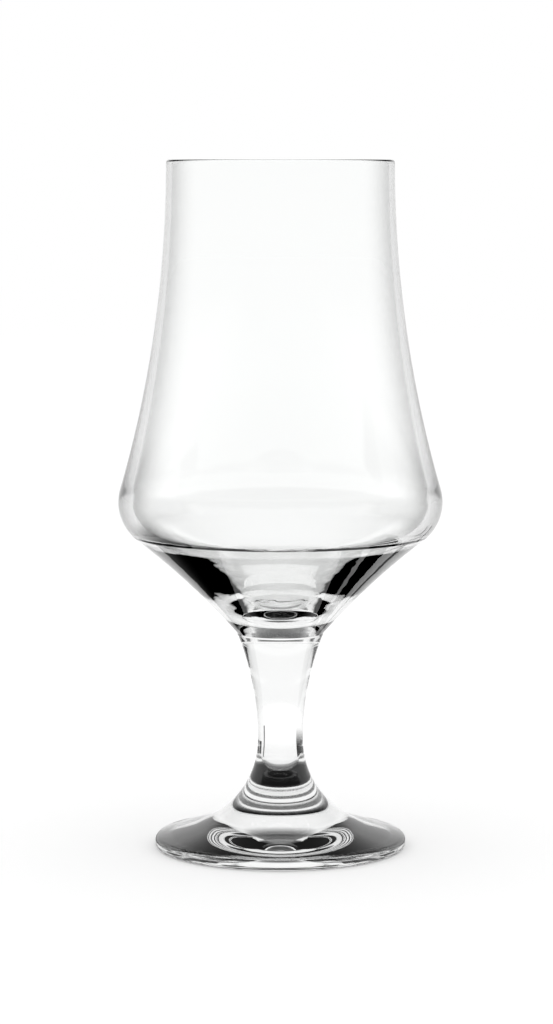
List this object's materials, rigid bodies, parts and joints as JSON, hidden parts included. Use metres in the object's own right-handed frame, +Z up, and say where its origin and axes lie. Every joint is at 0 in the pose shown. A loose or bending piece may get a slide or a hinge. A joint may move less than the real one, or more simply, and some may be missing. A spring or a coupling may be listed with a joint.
{
  "type": "stemmed beer glass",
  "caption": "Clear stemmed glass for beer: tall flaring wall, wide low belly over a solid cone, short waisted stem and a round foot.",
  "frame": {"origin": "middle of the ring that the foot stands on, at table level", "axes": "+Z up along the glass's axis of turning; X and Y are level and alike, since the glass is round"},
  "size_m": [0.0858, 0.0858, 0.1825],
  "materials": {
    "clear_glass": "fire-polished clear soda-lime glass"
  },
  "bodies": {
    "root": {"bowl": "clear_glass", "stem": "clear_glass", "foot": "clear_glass"}
  },
  "joints": []
}
